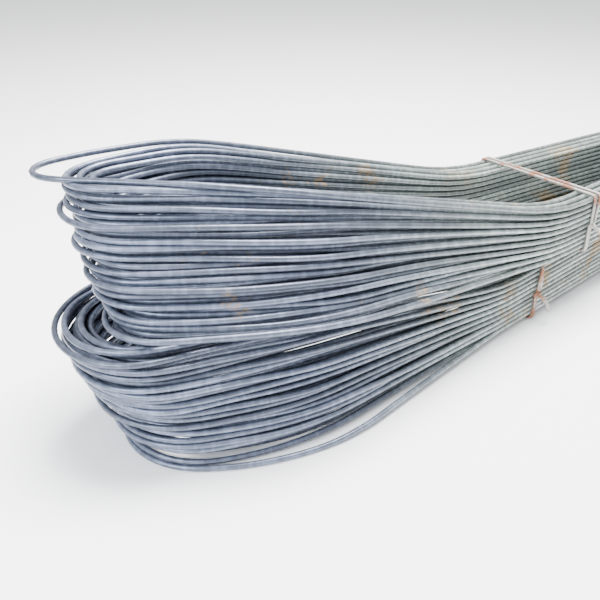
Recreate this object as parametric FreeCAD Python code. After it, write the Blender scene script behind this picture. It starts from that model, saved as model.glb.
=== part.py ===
import FreeCAD, Part
import math
import os

# Two tied bundles of plain round bar, one lying on the other.  Every bar is folded in half:
# a U-shaped loop at the -X end, a front and a back leg, both ends at +X.
# The bars of a bundle sit in rows, one above another, and in nests, one loop inside another.
# The loops fan out at the near end; wire ties hold the two legs from the first tie on.

doc = FreeCAD.newDocument("folded_bar_bundles")

# ---------------------------------------------------------------- driving dimensions (mm)
SIZES = [
    ("bar_diameter", 9.0, "diameter of the plain round bar"),
    ("bar_length", 10000.0, "length of one bar before it is folded"),
    ("bar_gap", 0.4, "clearance between neighbouring bars"),
    ("tied_row_gap", 1.6, "clearance between one row and the next where the bundle is tied"),
    ("row_count", 10, "rows of bars in a bundle, one above another"),
    ("nest_count", 6, "loops nested one inside another in a row pair"),
    ("wire_diameter", 5.5, "diameter of the tie wire"),
    ("wire_gap", 0.3, "clearance between a tie wire and the bars"),
    ("flare_angle", 22.0, "angle at which the legs leave the end of the loop, degrees"),
    ("flare_length", 215.0, "distance from the loop's end to its widest place"),
    ("side_width", 87.7, "half width of the outermost loop where its sides would meet its end"),
    ("side_radius", 390.0, "radius of the side of the loop at its widest place"),
    ("leg_gap", 0.4, "clearance between the two legs where they are tied together"),
    ("close_radius", 2500.0, "radius with which a leg turns in line with the bundle"),
    ("gather_radius", 600.0, "radius with which the fanned bars come level before the first tie"),
    ("lower_first_tie", 790.0, "first tie of the lower bundle, from the loops' end"),
    ("lower_close", 1600.0, "where the lower legs have come together"),
    ("lower_end_radius", 130.0, "radius of the outermost lower loop at its end"),
    ("lower_front_lean", 2.2, "shift of each next level of lower loops towards +Y, front side"),
    ("lower_back_lean", 2.2, "the same shift, back side"),
    ("lower_end_lean", 2.2, "the same shift, end of the loop"),
    ("lower_advance", 3.2, "shift of each next level of lower loops towards -X"),
    ("upper_first_tie", 910.0, "first tie of the upper bundle, from the loops' end"),
    ("upper_close", 2300.0, "where the upper legs have come together"),
    ("upper_end_radius", 85.0, "radius of the outermost upper loop at its end"),
    ("upper_front_lean", 4.5, "shift of each next level of upper loops towards +Y, front side"),
    ("upper_back_lean", 1.5, "the same shift, back side"),
    ("upper_end_lean", 6.2, "the same shift, end of the loop"),
    ("upper_advance", 0.2, "shift of each next level of upper loops towards -X"),
    ("stack_gap", 1.5, "clearance between the lower and the upper loops"),
    ("tie_lead", 110.0, "straight run of the bars before a tie"),
    ("tie_pitch", 1000.0, "distance between the ties that follow"),
    ("tie_count", 3, "ties on each bundle after the first"),
    ("turn_pitch", 6.5, "distance between the two turns of a tie"),
    ("tail_length", 34.0, "length of a tie's twisted ends"),
    ("loop_scatter", 7.0, "how far single levels stand out or back at the loops' end"),
    ("end_scatter", 24.0, "how far the cut ends of the bars stand out or back"),
    ("loose_spread", 27.0, "how far the loose lowest loop lies outside the others"),
    ("loose_reach", 16.0, "how far the loose top loop stands out past the others"),
    ("loose_rise", 1.5, "clearance under the loose top loop"),
    ("loose_end_radius", 45.0, "end radius of the loose top loop"),
    ("loose_skew", 35.0, "shift of the loose top loop's end towards +Y"),
]
sheet = doc.addObject("Spreadsheet::Sheet", "sizes")
for line, (alias, value, meaning) in enumerate(SIZES, start=1):
    sheet.set("A%d" % line, alias)
    sheet.set("B%d" % line, str(value))
    sheet.set("C%d" % line, meaning)
    sheet.setAlias("B%d" % line, alias)
doc.recompute()
size = {alias: float(sheet.get(alias)) for alias, value, meaning in SIZES}

bar = size["bar_diameter"]
wire = size["wire_diameter"]
rows = int(size["row_count"])
nests = int(size["nest_count"])
pitch = bar + size["bar_gap"]
tied_pitch = bar + size["tied_row_gap"]
nest_step = math.sqrt(pitch ** 2 - (pitch / 2) ** 2)
levels = 2 * rows
flare = math.radians(size["flare_angle"])


# ---------------------------------------------------------------- routes of lines and arcs
STRAIGHT = 1e-4
TOUCHING = 1e-3


def vec(x, y, z):
    return FreeCAD.Vector(x, y, z)


def rounded_route(corners):
    """A wire through (point, radius) corners: straight runs joined by tangent arcs."""
    edges = []
    here = corners[0][0]
    for before, (point, radius), after in zip(corners, corners[1:], corners[2:]):
        back = (before[0] - point).normalize()
        ahead = (after[0] - point).normalize()
        opening = back.getAngle(ahead)
        if math.pi - opening < STRAIGHT:
            continue
        trim = radius / math.tan(opening / 2)
        start = point + back * trim
        end = point + ahead * trim
        bisector = (back + ahead).normalize()
        middle = point + bisector * (radius / math.sin(opening / 2) - radius)
        if (start - here).dot(-back) < -TOUCHING:
            raise ValueError("a corner of radius %.1f mm finds no room" % radius)
        if start.distanceToPoint(here) > TOUCHING:
            edges.append(Part.LineSegment(here, start).toShape())
        edges.append(Part.Arc(start, middle, end).toShape())
        here = end
    edges.append(Part.LineSegment(here, corners[-1][0]).toShape())
    return Part.Wire(edges)


def scatter(number):
    """A fixed uneven value from -1 to 1 for each whole number."""
    return math.sin(12.9898 * number + 4.1) * math.cos(7.233 * number)


# ---------------------------------------------------------------- the two bundles
class Bundle:
    def __init__(self, name, tied_base, loop_base):
        self.name = name
        self.first_tie = size[name + "_first_tie"]
        self.close = size[name + "_close"]
        self.end_radius = size[name + "_end_radius"]
        self.front_lean = size[name + "_front_lean"]
        self.back_lean = size[name + "_back_lean"]
        self.end_lean = size[name + "_end_lean"]
        self.advance = size[name + "_advance"]
        self.tied_base = tied_base
        self.loop_base = loop_base

    def tied_height(self, row, nest):
        """Height of a bar's centre where the bundle is tied."""
        return self.tied_base + tied_pitch * (row + (nest % 2) / 2)

    def leg_offset(self, nest, x):
        """Distance of a leg's centre from the bundle's middle at x, from the widest place on."""
        closed = size["leg_gap"] / 2 + bar / 2 + nest_step * nest
        widest = loop_half_width(nest)
        along = (x - size["flare_length"]) / (self.close - size["flare_length"])
        return widest + (closed - widest) * min(along, 1.0)


def nest_inset(nest):
    """How far a loop lies inside the outermost one."""
    return nest_step * (nests - 1 - nest)


def loop_half_width(nest):
    """Distance of a leg's centre from the loop's middle at its widest place."""
    outermost = size["side_width"] + size["flare_length"] * math.tan(flare)
    return outermost - nest_inset(nest) * (math.tan(flare) + math.tan((math.pi / 2 - flare) / 2))


def end_corner(run, half_width, radius):
    """Distance of an end corner from the middle, so that one arc joins both legs."""
    reach = math.hypot(run - radius, half_width)
    slope = math.atan2(half_width, run - radius) - math.asin(radius / reach)
    return half_width - run * math.tan(slope)


def side_bend(points, radius):
    """Radius of a loop's side: as stated, or what the run to the end's arc leaves room for."""
    leg, side, end, across = points
    taken = radius * math.tan((end - side).getAngle(across - end) / 2)
    room = end.distanceToPoint(side) - taken
    return min(size["side_radius"], room / math.tan((side - leg).getAngle(end - side) / 2) - TOUCHING)


def bar_route(bundle, row, nest, loose=None):
    """Corners of one folded bar, from its front cut end round the loop to its back one."""
    level = 2 * row + nest % 2
    apex = nest_inset(nest) - bundle.advance * level
    apex += size["loop_scatter"] * scatter(level + len(bundle.name) * levels)
    middle = bundle.end_lean * level
    height = bundle.loop_base + pitch * level
    radius = bundle.end_radius - nest_inset(nest)
    widest = loop_half_width(nest)
    if loose == "lowest":
        height = bar / 2
        widest += size["loose_spread"]
    if loose == "top":
        height += bar + size["loose_rise"]
        apex -= size["loose_reach"]
        radius = size["loose_end_radius"]
        middle += size["loose_skew"]
    front_side = bundle.front_lean * level - widest
    back_side = bundle.back_lean * level + widest
    run = size["flare_length"] - apex
    front_end = middle - end_corner(run, middle - front_side, radius)
    back_end = middle + end_corner(run, back_side - middle, radius)
    tied = bundle.tied_height(row, nest)
    closed = bundle.leg_offset(nest, bundle.close)
    gather = bundle.first_tie - size["tie_lead"]
    gathered = bundle.leg_offset(nest, gather)
    points = [
        vec(bundle.close, -closed, tied),
        vec(gather, -gathered, tied),
        vec(size["flare_length"], front_side, height),
        vec(apex, front_end, height),
        vec(apex, back_end, height),
        vec(size["flare_length"], back_side, height),
        vec(gather, gathered, tied),
        vec(bundle.close, closed, tied),
    ]
    radii = [size["close_radius"], size["gather_radius"], side_bend(points[1:5], radius), radius,
             radius, side_bend(points[6:2:-1], radius), size["gather_radius"], size["close_radius"]]
    return list(zip(points, radii))


def bar_wire(bundle, row, nest, loose=None):
    """The whole centre line: the two legs are as long as the bar's length leaves them."""
    corners = bar_route(bundle, row, nest, loose)
    first, last = corners[0][0], corners[-1][0]
    middle_part = rounded_route(corners)
    number = row * nests + nest
    rest = (size["bar_length"] - middle_part.Length) / 2
    uneven = size["end_scatter"] * scatter(number + rows)
    front_cut = first + vec(rest + uneven, 0, 0)
    back_cut = last + vec(rest - uneven, 0, 0)
    return rounded_route([(front_cut, 0)] + corners + [(back_cut, 0)])


def swept(wire_path, diameter):
    """A round bar or wire along a path."""
    start = wire_path.Edges[0].firstVertex(True).Point
    direction = wire_path.Edges[0].tangentAt(wire_path.Edges[0].FirstParameter)
    circle = Part.Circle(start, direction, diameter / 2)
    return wire_path.makePipeShell([Part.Wire(circle.toShape())], True, False)


tied_rise = tied_pitch * (rows - 0.5)
lower_base = wire + size["wire_gap"] + bar / 2
upper_base = lower_base + tied_rise + bar + wire + 2 * size["wire_gap"]
lower_loop_base = bar / 2 + pitch
upper_loop_base = lower_loop_base + pitch * levels + size["stack_gap"]
lower = Bundle("lower", lower_base, lower_loop_base)
upper = Bundle("upper", upper_base, upper_loop_base)


# ---------------------------------------------------------------- tie wires
def tie_solid(bundle, x):
    """Two turns of wire round both legs, whose ends stand out side by side on the front face."""
    clear = bar / 2 + size["wire_gap"] + wire / 2
    side = bundle.leg_offset(nests - 1, x - wire) + clear
    low = bundle.tied_base - clear
    high = bundle.tied_base + tied_rise + clear
    corner = clear
    middle = (low + high) / 2
    step = size["turn_pitch"] / 4
    tail = size["tail_length"]
    points = [vec(x, -side - tail, middle - tail / 2), vec(x, -side, middle)]
    places = [(-side, low), (side, low), (side, high), (-side, high)]
    for turn in range(2):
        for quarter, (y, z) in enumerate(places):
            points.append(vec(x + step * (4 * turn + quarter + 1), y, z))
    last = x + step * 9
    points.append(vec(last, -side, middle + wire))
    points.append(vec(last, -side - tail, middle + wire - tail / 2))
    radii = [0, wire] + [corner] * 8 + [wire, 0]
    return swept(rounded_route(list(zip(points, radii))), wire)


def tie_places(bundle):
    places = [bundle.first_tie]
    for number in range(int(size["tie_count"])):
        places.append(bundle.close + size["tie_lead"] + size["tie_pitch"] * number)
    return places


# ---------------------------------------------------------------- sub-parts
def add_part(label, shape):
    part = doc.addObject("Part::Feature", label)
    part.Label = label
    part.Shape = shape
    return part


def is_loose(bundle, row, nest):
    """The loose loops: the outermost one of the lowest level and that of the top level."""
    outermost_of_top = nests - 1 - nests % 2
    if bundle is lower and row == 0 and nest == nests - 1:
        return "lowest"
    if bundle is upper and row == rows - 1 and nest == outermost_of_top:
        return "top"
    return None


def is_outer(row, nest):
    return row in (0, rows - 1) or nest in (0, nests - 1)


parts = []
for bundle in (lower, upper):
    outer = []
    inner = []
    for row in range(rows):
        for nest in range(nests):
            loose = is_loose(bundle, row, nest)
            solid = swept(bar_wire(bundle, row, nest, loose), bar)
            if loose:
                parts.append(add_part(bundle.name + "_loose_bar", solid))
            elif is_outer(row, nest):
                outer.append(solid)
            else:
                inner.append(solid)
    parts.append(add_part(bundle.name + "_outer_bars", Part.makeCompound(outer)))
    parts.append(add_part(bundle.name + "_inner_bars", Part.makeCompound(inner)))
    for number, x in enumerate(tie_places(bundle), start=1):
        parts.append(add_part("%s_tie_%d" % (bundle.name, number), tie_solid(bundle, x)))

box = FreeCAD.BoundBox()
for part in parts:
    box.add(part.Shape.optimalBoundingBox(False, False))
for part in parts:
    part.Placement = FreeCAD.Placement(vec(-box.Center.x, -box.Center.y, -box.ZMin), FreeCAD.Rotation())
doc.recompute()

for thing in doc.Objects:
    if "Invalid" in thing.State or "Error" in thing.State:
        raise RuntimeError("%s failed: %s" % (thing.Label, thing.State))
os.makedirs("parts", exist_ok=True)
for part in parts:
    if part.Shape.isNull() or not part.Shape.isValid():
        raise RuntimeError("%s has no valid shape" % part.Label)
for part in parts:
    part.Shape.exportStep("parts/%s.step" % part.Label)
    print("%-22s %3d solids %12.1f mm3" % (part.Label, len(part.Shape.Solids), part.Shape.Volume))
print("overall %.1f x %.1f x %.1f mm" % (box.XLength, box.YLength, box.ZLength))
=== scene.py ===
import math
import bpy
import numpy as np
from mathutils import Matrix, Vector


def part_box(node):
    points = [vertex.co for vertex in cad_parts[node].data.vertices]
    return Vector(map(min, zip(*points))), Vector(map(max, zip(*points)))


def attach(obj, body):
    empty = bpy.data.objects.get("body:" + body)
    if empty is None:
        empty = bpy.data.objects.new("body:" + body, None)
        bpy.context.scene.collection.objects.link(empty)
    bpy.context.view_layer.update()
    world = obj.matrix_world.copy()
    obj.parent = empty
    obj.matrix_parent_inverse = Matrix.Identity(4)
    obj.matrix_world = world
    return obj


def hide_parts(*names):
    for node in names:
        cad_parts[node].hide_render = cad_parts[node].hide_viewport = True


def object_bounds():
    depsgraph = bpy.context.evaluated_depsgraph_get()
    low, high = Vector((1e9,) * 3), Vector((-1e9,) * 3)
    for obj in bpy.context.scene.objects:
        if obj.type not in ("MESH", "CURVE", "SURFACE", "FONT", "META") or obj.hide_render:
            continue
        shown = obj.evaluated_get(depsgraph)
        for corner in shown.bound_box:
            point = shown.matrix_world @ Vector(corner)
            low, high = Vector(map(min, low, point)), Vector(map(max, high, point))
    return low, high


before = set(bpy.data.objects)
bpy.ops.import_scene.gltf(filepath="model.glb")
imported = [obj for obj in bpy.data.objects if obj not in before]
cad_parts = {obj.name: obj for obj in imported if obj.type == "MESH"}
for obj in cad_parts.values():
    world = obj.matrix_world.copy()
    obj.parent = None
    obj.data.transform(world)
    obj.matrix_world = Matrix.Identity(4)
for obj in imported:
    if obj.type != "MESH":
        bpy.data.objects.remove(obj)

cad_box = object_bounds()


# ---- The bars of both bundles -------------------------------------------------------------
# Plain hot-rolled round bar, cut to length and folded in half cold, so every bar has a loop
# at one end and two legs. The loops are springy: they fan out and lie a little unevenly,
# while the wire ties press the legs into a close pack.
BAR = 0.009
PITCH = BAR + 0.0004
BAR_LENGTH = 10.0
ROWS = 10
NESTS = 6
LEVELS = 2 * ROWS
NEST_STEP = PITCH * math.sin(math.radians(60))
TIED_ROW_PITCH = 0.0106
END_RADIUS = 0.130
FLARE = math.radians(22.0)
FLARE_LENGTH = 0.215
SIDE_RADIUS = 0.390
GATHER_RADIUS = 0.600
CLOSE_RADIUS = 2.5
TIE_LEAD = 0.110
HALF_LEG_GAP = 0.0002
STACK_GAP = 0.0015
LOOSE_SPREAD = 0.027
LOOSE_REACH = 0.016
LOOSE_RISE = 0.0015
LOOSE_END_RADIUS = 0.045
LOOSE_SKEW = 0.035
END_STRAY = 0.007
SIDE_STRAY = 0.004
CUT_STRAY = 0.024
WIRE = 0.0055
WIRE_GAP = 0.0003
SIDES = 12

TIED_RISE = TIED_ROW_PITCH * (ROWS - 0.5)
LOWER_BASE = WIRE + WIRE_GAP + BAR / 2
UPPER_BASE = LOWER_BASE + TIED_RISE + BAR + WIRE + 2 * WIRE_GAP
LOOP_BASE = BAR / 2 + PITCH

# the loops' end and the bundles' middle line, found from the first and last lower ties
LOWER_FIRST_TIE = 0.790
tie_half = HALF_LEG_GAP + BAR / 2 + NEST_STEP * (NESTS - 1) + BAR / 2 + WIRE_GAP + WIRE
loop_end_x = (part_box("lower_tie_1")[0][0] + WIRE / 2) - LOWER_FIRST_TIE
middle_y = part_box("lower_tie_4")[1][1] - tie_half

BUNDLES = {
    "lower": dict(tie=LOWER_FIRST_TIE, close=1.600, front_lean=0.0022, back_lean=0.0022, end_lean=0.0022,
                  advance=0.0032, end_radius=0.130, base=LOWER_BASE, loops=LOOP_BASE, seed=11),
    "upper": dict(tie=0.910, close=2.300, front_lean=0.0045, back_lean=0.0015, end_lean=0.0062,
                  advance=0.0002, end_radius=0.085, base=UPPER_BASE,
                  loops=LOOP_BASE + PITCH * LEVELS + STACK_GAP, seed=23),
}


def half_width(nest):
    """Distance of a leg's centre from the loop's middle at its widest place."""
    inset = NEST_STEP * (NESTS - 1 - nest)
    at_end = (END_RADIUS - inset) * math.tan((math.pi / 2 - FLARE) / 2)
    return at_end + (FLARE_LENGTH - inset) * math.tan(FLARE)


def end_corner(run, widest, radius):
    """Distance of an end corner from the middle, so that one arc joins both legs."""
    slope = math.atan2(widest, run - radius) - math.asin(radius / math.hypot(run - radius, widest))
    return widest - run * math.tan(slope)


def leg_offset(bundle, nest, x):
    closed = HALF_LEG_GAP + BAR / 2 + NEST_STEP * nest
    along = min((x - FLARE_LENGTH) / (bundle["close"] - FLARE_LENGTH), 1.0)
    return half_width(nest) + (closed - half_width(nest)) * along


def rounded(corners, step=0.004):
    """Points every few millimetres along straight runs joined by tangent arcs."""
    line = [np.array(corners[0][0], float)]
    for (before, _), (point, radius), (after, _) in zip(corners, corners[1:], corners[2:]):
        point = np.array(point, float)
        back = np.array(before, float) - point
        ahead = np.array(after, float) - point
        back /= np.linalg.norm(back)
        ahead /= np.linalg.norm(ahead)
        opening = math.acos(max(-1.0, min(1.0, float(back @ ahead))))
        trim = radius / math.tan(opening / 2)
        bisector = (back + ahead) / np.linalg.norm(back + ahead)
        centre = point + bisector * radius / math.sin(opening / 2)
        start = (point + back * trim - centre) / radius
        end = (point + ahead * trim - centre) / radius
        sweep = math.acos(max(-1.0, min(1.0, float(start @ end))))
        for share in np.linspace(0, 1, max(3, int(sweep * radius / step))):
            mix = math.sin((1 - share) * sweep) * start + math.sin(share * sweep) * end
            line.append(centre + radius * mix / math.sin(sweep))
    line.append(np.array(corners[-1][0], float))
    return np.array(line)


def route_corners(bundle, row, nest, noise):
    """Corners of one folded bar, from its front cut end round the loop to its back one."""
    level = 2 * row + nest % 2
    inset = NEST_STEP * (NESTS - 1 - nest)
    apex = inset - bundle["advance"] * level + END_STRAY * noise[level, 0]
    stray = SIDE_STRAY * noise[level, 1]
    middle = bundle["end_lean"] * level + stray
    height = bundle["loops"] + PITCH * level
    tied = bundle["base"] + TIED_ROW_PITCH * (row + (nest % 2) / 2)
    radius = bundle["end_radius"] - inset
    widest = half_width(nest)
    if bundle is BUNDLES["lower"] and row == 0 and nest == NESTS - 1:
        height = BAR / 2
        widest += LOOSE_SPREAD
    if bundle is BUNDLES["upper"] and row == ROWS - 1 and nest == NESTS - 1:
        apex -= LOOSE_REACH
        height += BAR + LOOSE_RISE
        radius = LOOSE_END_RADIUS
        middle += LOOSE_SKEW
    gather = bundle["tie"] - TIE_LEAD
    gathered = leg_offset(bundle, nest, gather)
    closed = leg_offset(bundle, nest, bundle["close"])
    legs = []
    for side, lean in ((-1, bundle["front_lean"]), (1, bundle["back_lean"])):
        side_y = lean * level + stray + side * widest
        corner = end_corner(FLARE_LENGTH - apex, side * (side_y - middle), radius)
        legs.append([
            ((bundle["close"], side * closed, tied), CLOSE_RADIUS),
            ((gather, side * gathered, tied), GATHER_RADIUS),
            ((FLARE_LENGTH, side_y, height), SIDE_RADIUS),
            ((apex, middle + side * corner, height), radius),
        ])
    return legs[0] + legs[1][::-1]


LOOP_STATIONS = 61
LEG_STATIONS = 46


def station_line(line, reach):
    """The same number of points on every bar: evenly round the loop, then out along each leg."""
    steps = np.linalg.norm(np.diff(line, axis=0), axis=1)
    run = np.concatenate([[0], np.cumsum(steps)])
    turn = run[np.argmin(line[:, 0])]
    near = 0.45
    loop = turn + np.linspace(-near, near, LOOP_STATIONS)
    share = np.linspace(0, 1, LEG_STATIONS + 1)[1:]
    leg = (reach - near) * (0.45 * share + 0.55 * share ** 3)
    places = np.concatenate([(turn - near - leg)[::-1], loop, turn + near + leg])
    return np.stack([np.interp(places, run, line[:, k]) for k in range(3)], axis=1)


def bundle_lines(bundle):
    """Centre lines of a bundle's bars: the neat routes, loosened towards the loops."""
    draw = np.random.default_rng(bundle["seed"])
    noise = np.clip(draw.normal(0, 0.7, (LEVELS, 2)), -1.2, 1.2)
    lines = []
    for row in range(ROWS):
        for nest in range(NESTS):
            corners = route_corners(bundle, row, nest, noise)
            middle = rounded([((3.0, corners[0][0][1], corners[0][0][2]), 0)] + corners
                             + [((3.0, corners[-1][0][1], corners[-1][0][2]), 0)])
            over = np.linalg.norm(np.diff(middle, axis=0), axis=1).sum()
            extra = (BAR_LENGTH - over) / 2
            uneven = draw.uniform(-CUT_STRAY, CUT_STRAY)
            middle[0, 0] += extra + uneven
            middle[-1, 0] += extra - uneven
            lines.append(station_line(middle, BAR_LENGTH / 2))
            lines[-1][0] = middle[0]
            lines[-1][-1] = middle[-1]
    return np.array(lines), draw


def loosen(lines, bundle, draw):
    """Lets the bars wander where nothing ties them, then moves them clear of one another."""
    count, stations, _ = lines.shape
    x = lines[:, :, 0]
    free = np.clip((bundle["tie"] - TIE_LEAD * 0.4 - x) / 0.5, 0, 1)
    free = (free * free * (3 - 2 * free))[:, :, None]
    waves = np.zeros_like(lines)
    along = np.arange(stations) / stations
    for k, (size, turns) in enumerate(((0.0040, 2.0), (0.0022, 4.5), (0.0008, 9.0))):
        for axis, share in ((0, 0.6), (1, 1.0), (2, 0.75)):
            phase = draw.uniform(0, 2 * math.pi, (count, 1))
            rate = turns * draw.uniform(0.7, 1.3, (count, 1))
            waves[:, :, axis] += size * share * np.sin(2 * math.pi * rate * along[None] + phase)
    moved = lines + waves * free
    floor = BAR / 2 + 0.0002
    for turn in range(60):
        for k in range(stations):
            here = moved[:, k]
            tangent = moved[:, min(k + 1, stations - 1)] - moved[:, max(k - 1, 0)]
            tangent /= np.linalg.norm(tangent, axis=1)[:, None]
            apart = here[:, None] - here[None]
            mean = tangent[:, None] + tangent[None]
            mean /= np.linalg.norm(mean, axis=2)[:, :, None] + 1e-9
            apart -= (apart * mean).sum(2)[:, :, None] * mean
            gap = np.linalg.norm(apart, axis=2) + np.eye(count)
            short = np.clip(BAR * 1.01 - gap, 0, None)
            push = (apart / gap[:, :, None] * short[:, :, None]).sum(1) * 0.45
            moved[:, k] += push * free[:, k]
        smooth = moved.copy()
        smooth[:, 1:-1] = (moved[:, :-2] + 2 * moved[:, 1:-1] + moved[:, 2:]) / 4
        if turn % 6 == 3 and turn < 50:
            moved += (smooth - moved) * free * 0.5
        moved[:, :, 2] = np.maximum(moved[:, :, 2], floor)
    return moved


def tube_mesh(name, lines, offset):
    """One mesh of round bars with flat cut ends, and the values their finish is drawn from."""
    angles = np.arange(SIDES) * 2 * math.pi / SIDES
    points, faces, tones, runs = [], [], [], []
    for number, line in enumerate(lines):
        tangent = np.gradient(line, axis=0)
        tangent /= np.linalg.norm(tangent, axis=1)[:, None]
        side = np.cross(tangent, (0, 0, 1.0))
        side /= np.linalg.norm(side, axis=1)[:, None]
        up = np.cross(side, tangent)
        across = np.cos(angles)[None, :, None] * side[:, None]
        ring = across + np.sin(angles)[None, :, None] * up[:, None]
        base = len(points) and sum(len(p) for p in points)
        points.append((line[:, None] + ring * BAR / 2).reshape(-1, 3))
        stations = len(line)
        for k in range(stations - 1):
            for s in range(SIDES):
                a = base + k * SIDES + s
                b = base + k * SIDES + (s + 1) % SIDES
                faces.append((a, a + SIDES, b + SIDES, b))
        faces.append(tuple(base + s for s in range(SIDES)))
        faces.append(tuple(base + (stations - 1) * SIDES + s for s in reversed(range(SIDES))))
        run = np.concatenate([[0], np.cumsum(np.linalg.norm(np.diff(line, axis=0), axis=1))])
        tones.append(np.full(stations * SIDES, ((number + offset) * 0.61803) % 1.0))
        runs.append(np.repeat(run, SIDES))
    mesh = bpy.data.meshes.new(name)
    mesh.from_pydata(np.concatenate(points).tolist(), [], faces)
    mesh.polygons.foreach_set("use_smooth", [len(f) == 4 for f in faces])
    tone = mesh.attributes.new("bar_tone", "FLOAT", "POINT")
    tone.data.foreach_set("value", np.concatenate(tones).astype(np.float32))
    run = mesh.attributes.new("bar_run", "FLOAT", "POINT")
    run.data.foreach_set("value", np.concatenate(runs).astype(np.float32))
    piece = bpy.data.objects.new(name, mesh)
    bpy.context.scene.collection.objects.link(piece)
    return piece


def in_frame(lines):
    """From the bundle's own lengths to the frame's place, kept inside the model's box."""
    placed = lines + np.array((loop_end_x, middle_y, 0.0))
    low = np.array(cad_box[0]) + BAR / 2
    high = np.array(cad_box[1]) - BAR / 2
    high[0] = cad_box[1][0]
    return np.clip(placed, low, high)


def is_outer(row, nest):
    return row in (0, ROWS - 1) or nest in (0, NESTS - 1)


bar_pieces = []
for name, bundle in BUNDLES.items():
    neat, draw = bundle_lines(bundle)
    lines = in_frame(loosen(neat, bundle, draw))
    groups = {"loose_bar": [], "outer_bars": [], "inner_bars": []}
    for row in range(ROWS):
        for nest in range(NESTS):
            line = lines[row * NESTS + nest]
            loose_row = 0 if name == "lower" else ROWS - 1
            if row == loose_row and nest == NESTS - 1:
                groups["loose_bar"].append(line)
            elif is_outer(row, nest):
                groups["outer_bars"].append(line)
            else:
                groups["inner_bars"].append(line)
    for number, (group, members) in enumerate(groups.items()):
        piece = tube_mesh("%s_%s_shown" % (name, group), members, number * 31 + bundle["seed"])
        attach(piece, "root")
        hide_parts("%s_%s" % (name, group))
        bar_pieces.append(piece)


# ---- The steel's finish -------------------------------------------------------------------
# Hot-rolled steel with its blue-grey mill skin, flecked with short pale dashes that also carry painted
# glints.
# Damp has left warm brown rust in patches, and dust lies paler towards the tied legs.
def group_sockets(group, inputs, outputs):
    for label, kind, value in inputs:
        socket = group.interface.new_socket(name=label, in_out="INPUT", socket_type=kind)
        socket.default_value = value
    for label, kind in outputs:
        group.interface.new_socket(name=label, in_out="OUTPUT", socket_type=kind)


def patch_group():
    """Ragged patches: a coarse noise whose edge is broken up by a fine one."""
    group = bpy.data.node_groups.new("ragged_patches", "ShaderNodeTree")
    group_sockets(group, [("Place", "NodeSocketVector", (0, 0, 0)), ("Coarse", "NodeSocketFloat", 9.0),
                          ("Fine", "NodeSocketFloat", 160.0), ("Cover", "NodeSocketFloat", 0.3),
                          ("Soft", "NodeSocketFloat", 0.06)],
                  [("Mask", "NodeSocketFloat")])
    nodes, links = group.nodes, group.links
    given = nodes.new("NodeGroupInput")
    result = nodes.new("NodeGroupOutput")
    coarse = nodes.new("ShaderNodeTexNoise")
    coarse.inputs["Detail"].default_value = 3
    fine = nodes.new("ShaderNodeTexNoise")
    fine.inputs["Detail"].default_value = 4
    links.new(given.outputs["Place"], coarse.inputs["Vector"])
    links.new(given.outputs["Place"], fine.inputs["Vector"])
    links.new(given.outputs["Coarse"], coarse.inputs["Scale"])
    links.new(given.outputs["Fine"], fine.inputs["Scale"])
    blend = nodes.new("ShaderNodeMath")
    blend.operation = "MULTIPLY_ADD"
    blend.inputs[1].default_value = 0.35
    links.new(fine.outputs["Fac"], blend.inputs[0])
    links.new(coarse.outputs["Fac"], blend.inputs[2])
    level = nodes.new("ShaderNodeMath")
    level.operation = "SUBTRACT"
    level.inputs[0].default_value = 1.02
    links.new(given.outputs["Cover"], level.inputs[1])
    top = nodes.new("ShaderNodeMath")
    top.operation = "ADD"
    links.new(level.outputs[0], top.inputs[0])
    links.new(given.outputs["Soft"], top.inputs[1])
    ramp = nodes.new("ShaderNodeMapRange")
    ramp.interpolation_type = "SMOOTHSTEP"
    links.new(blend.outputs[0], ramp.inputs["Value"])
    links.new(level.outputs[0], ramp.inputs["From Min"])
    links.new(top.outputs[0], ramp.inputs["From Max"])
    links.new(ramp.outputs["Result"], result.inputs["Mask"])
    return group


ragged_patches = patch_group()


def mix_colour(nodes, links, mask, under, over, kind="MIX"):
    mix = nodes.new("ShaderNodeMix")
    mix.data_type = "RGBA"
    mix.blend_type = kind
    for socket, value in ((mix.inputs[0], mask), (mix.inputs[6], under), (mix.inputs[7], over)):
        if hasattr(value, "is_output"):
            links.new(value, socket)
        else:
            socket.default_value = value
    return mix.outputs[2]


def ranged(nodes, links, value, low, high, to_low=0.0, to_high=1.0):
    node = nodes.new("ShaderNodeMapRange")
    node.interpolation_type = "SMOOTHSTEP"
    links.new(value, node.inputs["Value"])
    node.inputs["From Min"].default_value = low
    node.inputs["From Max"].default_value = high
    node.inputs["To Min"].default_value = to_low
    node.inputs["To Max"].default_value = to_high
    return node.outputs["Result"]


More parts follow.
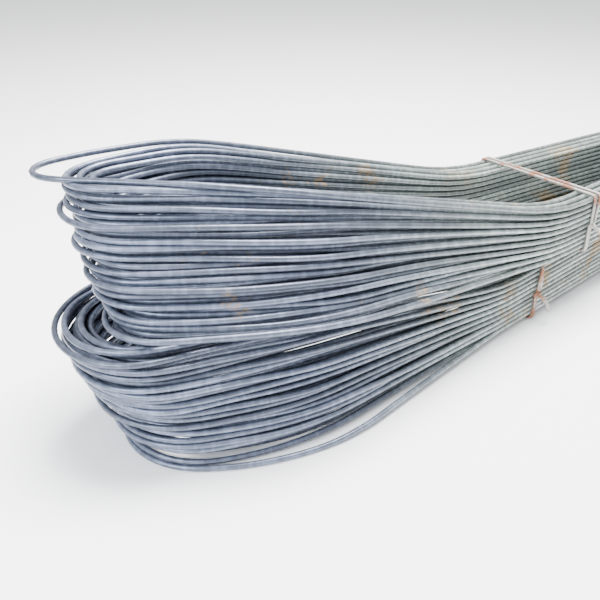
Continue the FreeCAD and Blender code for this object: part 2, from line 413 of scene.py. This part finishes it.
def bar_steel():
    material = bpy.data.materials.new("mill_skin_steel")
    material.use_nodes = True
    nodes, links = material.node_tree.nodes, material.node_tree.links
    shader = nodes["Principled BSDF"]
    place = nodes.new("ShaderNodeTexCoord").outputs["Object"]
    split = nodes.new("ShaderNodeSeparateXYZ")
    links.new(place, split.inputs[0])
    tone = nodes.new("ShaderNodeAttribute")
    tone.attribute_name = "bar_tone"
    run = nodes.new("ShaderNodeAttribute")
    run.attribute_name = "bar_run"
    # long streaks: noise drawn out along each bar, different on every bar
    streak_place = nodes.new("ShaderNodeCombineXYZ")
    links.new(run.outputs["Fac"], streak_place.inputs["X"])
    shift = nodes.new("ShaderNodeMath")
    shift.operation = "MULTIPLY"
    shift.inputs[1].default_value = 40.0
    links.new(tone.outputs["Fac"], shift.inputs[0])
    links.new(shift.outputs[0], streak_place.inputs["Y"])
    streak = nodes.new("ShaderNodeTexNoise")
    streak.inputs["Scale"].default_value = 7.0
    streak.inputs["Detail"].default_value = 5.0
    links.new(streak_place.outputs[0], streak.inputs["Vector"])
    grain = nodes.new("ShaderNodeTexNoise")
    grain.inputs["Scale"].default_value = 420.0
    grain.inputs["Detail"].default_value = 3.0
    links.new(place, grain.inputs["Vector"])
    # short bright dashes that brighten the colour: pale flecks of the mill skin, with painted glints
    # where light would sparkle on them
    fleck_glint_noise = nodes.new("ShaderNodeTexNoise")
    fleck_glint_noise.inputs["Scale"].default_value = 95.0
    fleck_glint_noise.inputs["Detail"].default_value = 2.0
    links.new(streak_place.outputs[0], fleck_glint_noise.inputs["Vector"])
    fleck_glint_level = ranged(nodes, links, fleck_glint_noise.outputs["Fac"], 0.42, 0.68, 0.84, 1.32)
    # blue-grey near the loops, paler and greener along the legs
    far = ranged(nodes, links, split.outputs["X"], loop_end_x + 0.20, loop_end_x + 0.85)
    near_colour = mix_colour(nodes, links, streak.outputs["Fac"],
                             (0.035, 0.047, 0.070, 1), (0.20, 0.225, 0.31, 1))
    far_colour = mix_colour(nodes, links, streak.outputs["Fac"],
                            (0.10, 0.12, 0.11, 1), (0.46, 0.52, 0.48, 1))
    steel = mix_colour(nodes, links, far, near_colour, far_colour)
    each = ranged(nodes, links, tone.outputs["Fac"], 0.0, 1.0, 0.62, 1.25)
    shade = nodes.new("ShaderNodeCombineColor")
    for channel in ("Red", "Green", "Blue"):
        links.new(each, shade.inputs[channel])
    steel = mix_colour(nodes, links, 1.0, steel, shade.outputs[0], "MULTIPLY")
    # the pale flecks and painted glints multiply the steel's colour here
    fleck_glint_colour = nodes.new("ShaderNodeCombineColor")
    for channel in ("Red", "Green", "Blue"):
        links.new(fleck_glint_level, fleck_glint_colour.inputs[channel])
    steel = mix_colour(nodes, links, 1.0, steel, fleck_glint_colour.outputs[0], "MULTIPLY")
    speck = ranged(nodes, links, grain.outputs["Fac"], 0.35, 0.7)
    pitted = mix_colour(nodes, links, 0.25, steel, (0.12, 0.14, 0.18, 1))
    steel = mix_colour(nodes, links, speck, pitted, steel)
    rust = nodes.new("ShaderNodeGroup")
    rust.node_tree = ragged_patches
    links.new(place, rust.inputs["Place"])
    rust.inputs["Coarse"].default_value = 8.0
    rust.inputs["Fine"].default_value = 130.0
    rust_cover = ranged(nodes, links, split.outputs["X"], loop_end_x + 0.15, loop_end_x + 0.65,
                        0.17, 0.27)
    links.new(rust_cover, rust.inputs["Cover"])
    rust.inputs["Soft"].default_value = 0.10
    rust_colour = mix_colour(nodes, links, grain.outputs["Fac"],
                             (0.16, 0.09, 0.04, 1), (0.42, 0.29, 0.14, 1))
    rust_part = nodes.new("ShaderNodeMath")
    rust_part.operation = "MULTIPLY"
    rust_part.inputs[1].default_value = 0.7
    links.new(rust.outputs["Mask"], rust_part.inputs[0])
    rusted = mix_colour(nodes, links, rust_part.outputs[0], steel, rust_colour)
    links.new(rusted, shader.inputs["Base Color"])
    rough = ranged(nodes, links, streak.outputs["Fac"], 0.3, 0.7, 0.30, 0.44)
    rough_mix = nodes.new("ShaderNodeMix")
    links.new(rust.outputs["Mask"], rough_mix.inputs[0])
    links.new(rough, rough_mix.inputs[2])
    rough_mix.inputs[3].default_value = 0.85
    links.new(rough_mix.outputs[0], shader.inputs["Roughness"])
    links.new(ranged(nodes, links, rust.outputs["Mask"], 0, 1, 0.55, 0.1), shader.inputs["Metallic"])
    bump = nodes.new("ShaderNodeBump")
    bump.inputs["Strength"].default_value = 0.35
    bump.inputs["Distance"].default_value = 0.0004
    links.new(grain.outputs["Fac"], bump.inputs["Height"])
    links.new(bump.outputs["Normal"], shader.inputs["Normal"])
    return material


steel = bar_steel()
for piece in bar_pieces:
    piece.data.materials.append(steel)


# ---- Tie wires ----------------------------------------------------------------------------
# Soft annealed wire rod, wound twice round both legs and twisted tight on the front face,
# so each tie ends in a short pigtail of two strands. Thin and bare, it rusts first.
TWIST_STEP = 0.030
TWIST_LENGTH = 0.040
TAIL_LENGTH = 0.034
TURN_STEP = 0.0016
TIE_CORNER = 0.008


def tie_line(low, high, face, step):
    """Centre line of one tie's two turns, from its box's inner faces."""
    clear = WIRE / 2
    side_low = face
    side_high = high[1] - clear
    bottom = low[2] + clear
    top = high[2] - clear
    start_x = low[0] + clear
    corners = [((start_x, side_low, (bottom + top) / 2), 0)]
    places = [(side_low, bottom), (side_high, bottom), (side_high, top), (side_low, top)]
    for turn in range(2):
        for quarter, (y, z) in enumerate(places):
            slant = 0.006 * math.sin(3.1 * turn + 1.7 * quarter + low[0] * 40)
            corners.append(((start_x + step * (4 * turn + quarter + 1) + slant, y, z), TIE_CORNER))
    corners.append(((start_x + step * 9, side_low, (bottom + top) / 2 + WIRE), 0))
    return rounded(corners, 0.003)


def resampled(line, gap):
    run = np.concatenate([[0], np.cumsum(np.linalg.norm(np.diff(line, axis=0), axis=1))])
    places = np.linspace(0, run[-1], max(4, int(run[-1] / gap)))
    return np.stack([np.interp(places, run, line[:, k]) for k in range(3)], axis=1)


def wire_mesh(name, lines, diameter, sides=10):
    angles = np.arange(sides) * 2 * math.pi / sides
    points, faces, base = [], [], 0
    for line in lines:
        tangent = np.gradient(line, axis=0)
        tangent /= np.linalg.norm(tangent, axis=1)[:, None] + 1e-12
        side = np.cross(tangent[0], (1.0, 0.2, 0.1))
        side /= np.linalg.norm(side)
        rings = []
        for here, way in zip(line, tangent):
            side = side - way * (side @ way)
            side /= np.linalg.norm(side)
            up = np.cross(way, side)
            ring = np.cos(angles)[:, None] * side + np.sin(angles)[:, None] * up
            rings.append(here + diameter / 2 * ring)
        points.append(np.concatenate(rings))
        for k in range(len(line) - 1):
            for s in range(sides):
                a = base + k * sides + s
                b = base + k * sides + (s + 1) % sides
                faces.append((a, a + sides, b + sides, b))
        faces.append(tuple(base + s for s in range(sides)))
        faces.append(tuple(base + (len(line) - 1) * sides + s for s in reversed(range(sides))))
        base += len(line) * sides
    mesh = bpy.data.meshes.new(name)
    mesh.from_pydata(np.concatenate(points).tolist(), [], faces)
    mesh.polygons.foreach_set("use_smooth", [len(f) == 4 for f in faces])
    mesh.update()
    piece = bpy.data.objects.new(name, mesh)
    bpy.context.scene.collection.objects.link(piece)
    return piece


def tie_material():
    material = bpy.data.materials.new("rusty_tie_wire")
    material.use_nodes = True
    nodes, links = material.node_tree.nodes, material.node_tree.links
    shader = nodes["Principled BSDF"]
    place = nodes.new("ShaderNodeTexCoord").outputs["Object"]
    rust = nodes.new("ShaderNodeGroup")
    rust.node_tree = ragged_patches
    links.new(place, rust.inputs["Place"])
    rust.inputs["Coarse"].default_value = 30.0
    rust.inputs["Fine"].default_value = 300.0
    rust.inputs["Cover"].default_value = 0.36
    rust.inputs["Soft"].default_value = 0.12
    grain = nodes.new("ShaderNodeTexNoise")
    grain.inputs["Scale"].default_value = 500.0
    links.new(place, grain.inputs["Vector"])
    bare = mix_colour(nodes, links, grain.outputs["Fac"], (0.20, 0.19, 0.18, 1), (0.48, 0.46, 0.42, 1))
    red = mix_colour(nodes, links, grain.outputs["Fac"], (0.16, 0.06, 0.04, 1), (0.36, 0.17, 0.10, 1))
    links.new(mix_colour(nodes, links, rust.outputs["Mask"], bare, red), shader.inputs["Base Color"])
    links.new(ranged(nodes, links, rust.outputs["Mask"], 0, 1, 0.5, 0.9), shader.inputs["Roughness"])
    links.new(ranged(nodes, links, rust.outputs["Mask"], 0, 1, 0.5, 0.05), shader.inputs["Metallic"])
    bump = nodes.new("ShaderNodeBump")
    bump.inputs["Strength"].default_value = 0.4
    bump.inputs["Distance"].default_value = 0.0003
    links.new(grain.outputs["Fac"], bump.inputs["Height"])
    links.new(bump.outputs["Normal"], shader.inputs["Normal"])
    return material


tie_wire = tie_material()
for node in sorted(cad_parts):
    if "_tie_" not in node:
        continue
    low, high = (np.array(corner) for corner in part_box(node))
    face = low[1] + TAIL_LENGTH + WIRE / 2 * 0.9
    turns = resampled(tie_line(low, high, face, TURN_STEP), 0.004)
    # the pigtail: two strands twisted round each other, drooping from the front face
    root = np.array((turns[0][0] + 0.004, face, (low[2] + high[2]) / 2))
    share = np.linspace(0, 1, 40)
    core = root + np.stack([0.010 * share, -0.026 * np.sin(share * 1.5), -0.030 * share ** 1.5], axis=1)
    strands = [turns]
    for phase in (0, math.pi):
        swirl = share * TWIST_LENGTH / TWIST_STEP * 2 * math.pi + phase
        turn = np.stack([np.cos(swirl), 0.4 * np.sin(swirl), np.sin(swirl)], axis=1)
        strands.append(core + WIRE * 0.5 * turn)
    piece = wire_mesh(node + "_twisted", strands, WIRE)
    piece.data.materials.append(tie_wire)
    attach(piece, "root")
    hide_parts(node)


# ---- Floor, light and camera --------------------------------------------------------------
# A plain pale floor and soft studio light from above; the eye is low and close to the loops.
FLOOR = 30.0
floor_corners = [(-FLOOR, -FLOOR, 0), (FLOOR, -FLOOR, 0), (FLOOR, FLOOR, 0), (-FLOOR, FLOOR, 0)]
floor_mesh = bpy.data.meshes.new("pale_floor")
floor_mesh.from_pydata(floor_corners, [], [(0, 1, 2, 3)])
floor = bpy.data.objects.new("pale_floor", floor_mesh)
bpy.context.scene.collection.objects.link(floor)
floor_paint = bpy.data.materials.new("pale_floor_paint")
floor_paint.use_nodes = True
floor_shader = floor_paint.node_tree.nodes["Principled BSDF"]
floor_shader.inputs["Base Color"].default_value = (0.95, 0.95, 0.95, 1)
floor_shader.inputs["Roughness"].default_value = 0.9
floor_mesh.materials.append(floor_paint)

world = bpy.data.worlds.new("studio")
bpy.context.scene.world = world
world.use_nodes = True
world.node_tree.nodes["Background"].inputs["Color"].default_value = (0.95, 0.97, 1.0, 1)
world.node_tree.nodes["Background"].inputs["Strength"].default_value = 1.3


def soft_light(name, place, target, size, power, colour):
    light = bpy.data.lights.new(name, "AREA")
    light.size = size
    light.energy = power
    light.color = colour
    lamp = bpy.data.objects.new(name, light)
    lamp.location = place
    lamp.rotation_euler = (Vector(target) - Vector(place)).to_track_quat("-Z", "Y").to_euler()
    bpy.context.scene.collection.objects.link(lamp)


loops = Vector((loop_end_x + 0.4, middle_y, 0.2))
soft_light("overhead", loops + Vector((0.6, 0.3, 2.6)), loops, 1.5, 480, (1.0, 0.99, 0.97))
soft_light("window", loops + Vector((-2.2, -0.6, 1.4)), loops, 1.2, 100, (0.86, 0.92, 1.0))

LENS = 42.0
EYE_HEIGHT = 0.7236
EYE_BACK = 0.270
EYE_ASIDE = 0.8055
LOOK_TURN = math.radians(53.7)
LOOK_DOWN = math.radians(30.0)
camera_data = bpy.data.cameras.new("eye")
camera_data.lens = LENS
camera_data.sensor_width = 36.0
camera_data.clip_end = 100
camera = bpy.data.objects.new("eye", camera_data)
camera.location = (loop_end_x - EYE_BACK, middle_y - EYE_ASIDE, EYE_HEIGHT)
level_reach = math.cos(LOOK_DOWN)
way = Vector((level_reach * math.cos(LOOK_TURN), level_reach * math.sin(LOOK_TURN),
              -math.sin(LOOK_DOWN)))
camera.rotation_euler = way.to_track_quat("-Z", "Y").to_euler()
bpy.context.scene.collection.objects.link(camera)
bpy.context.scene.camera = camera
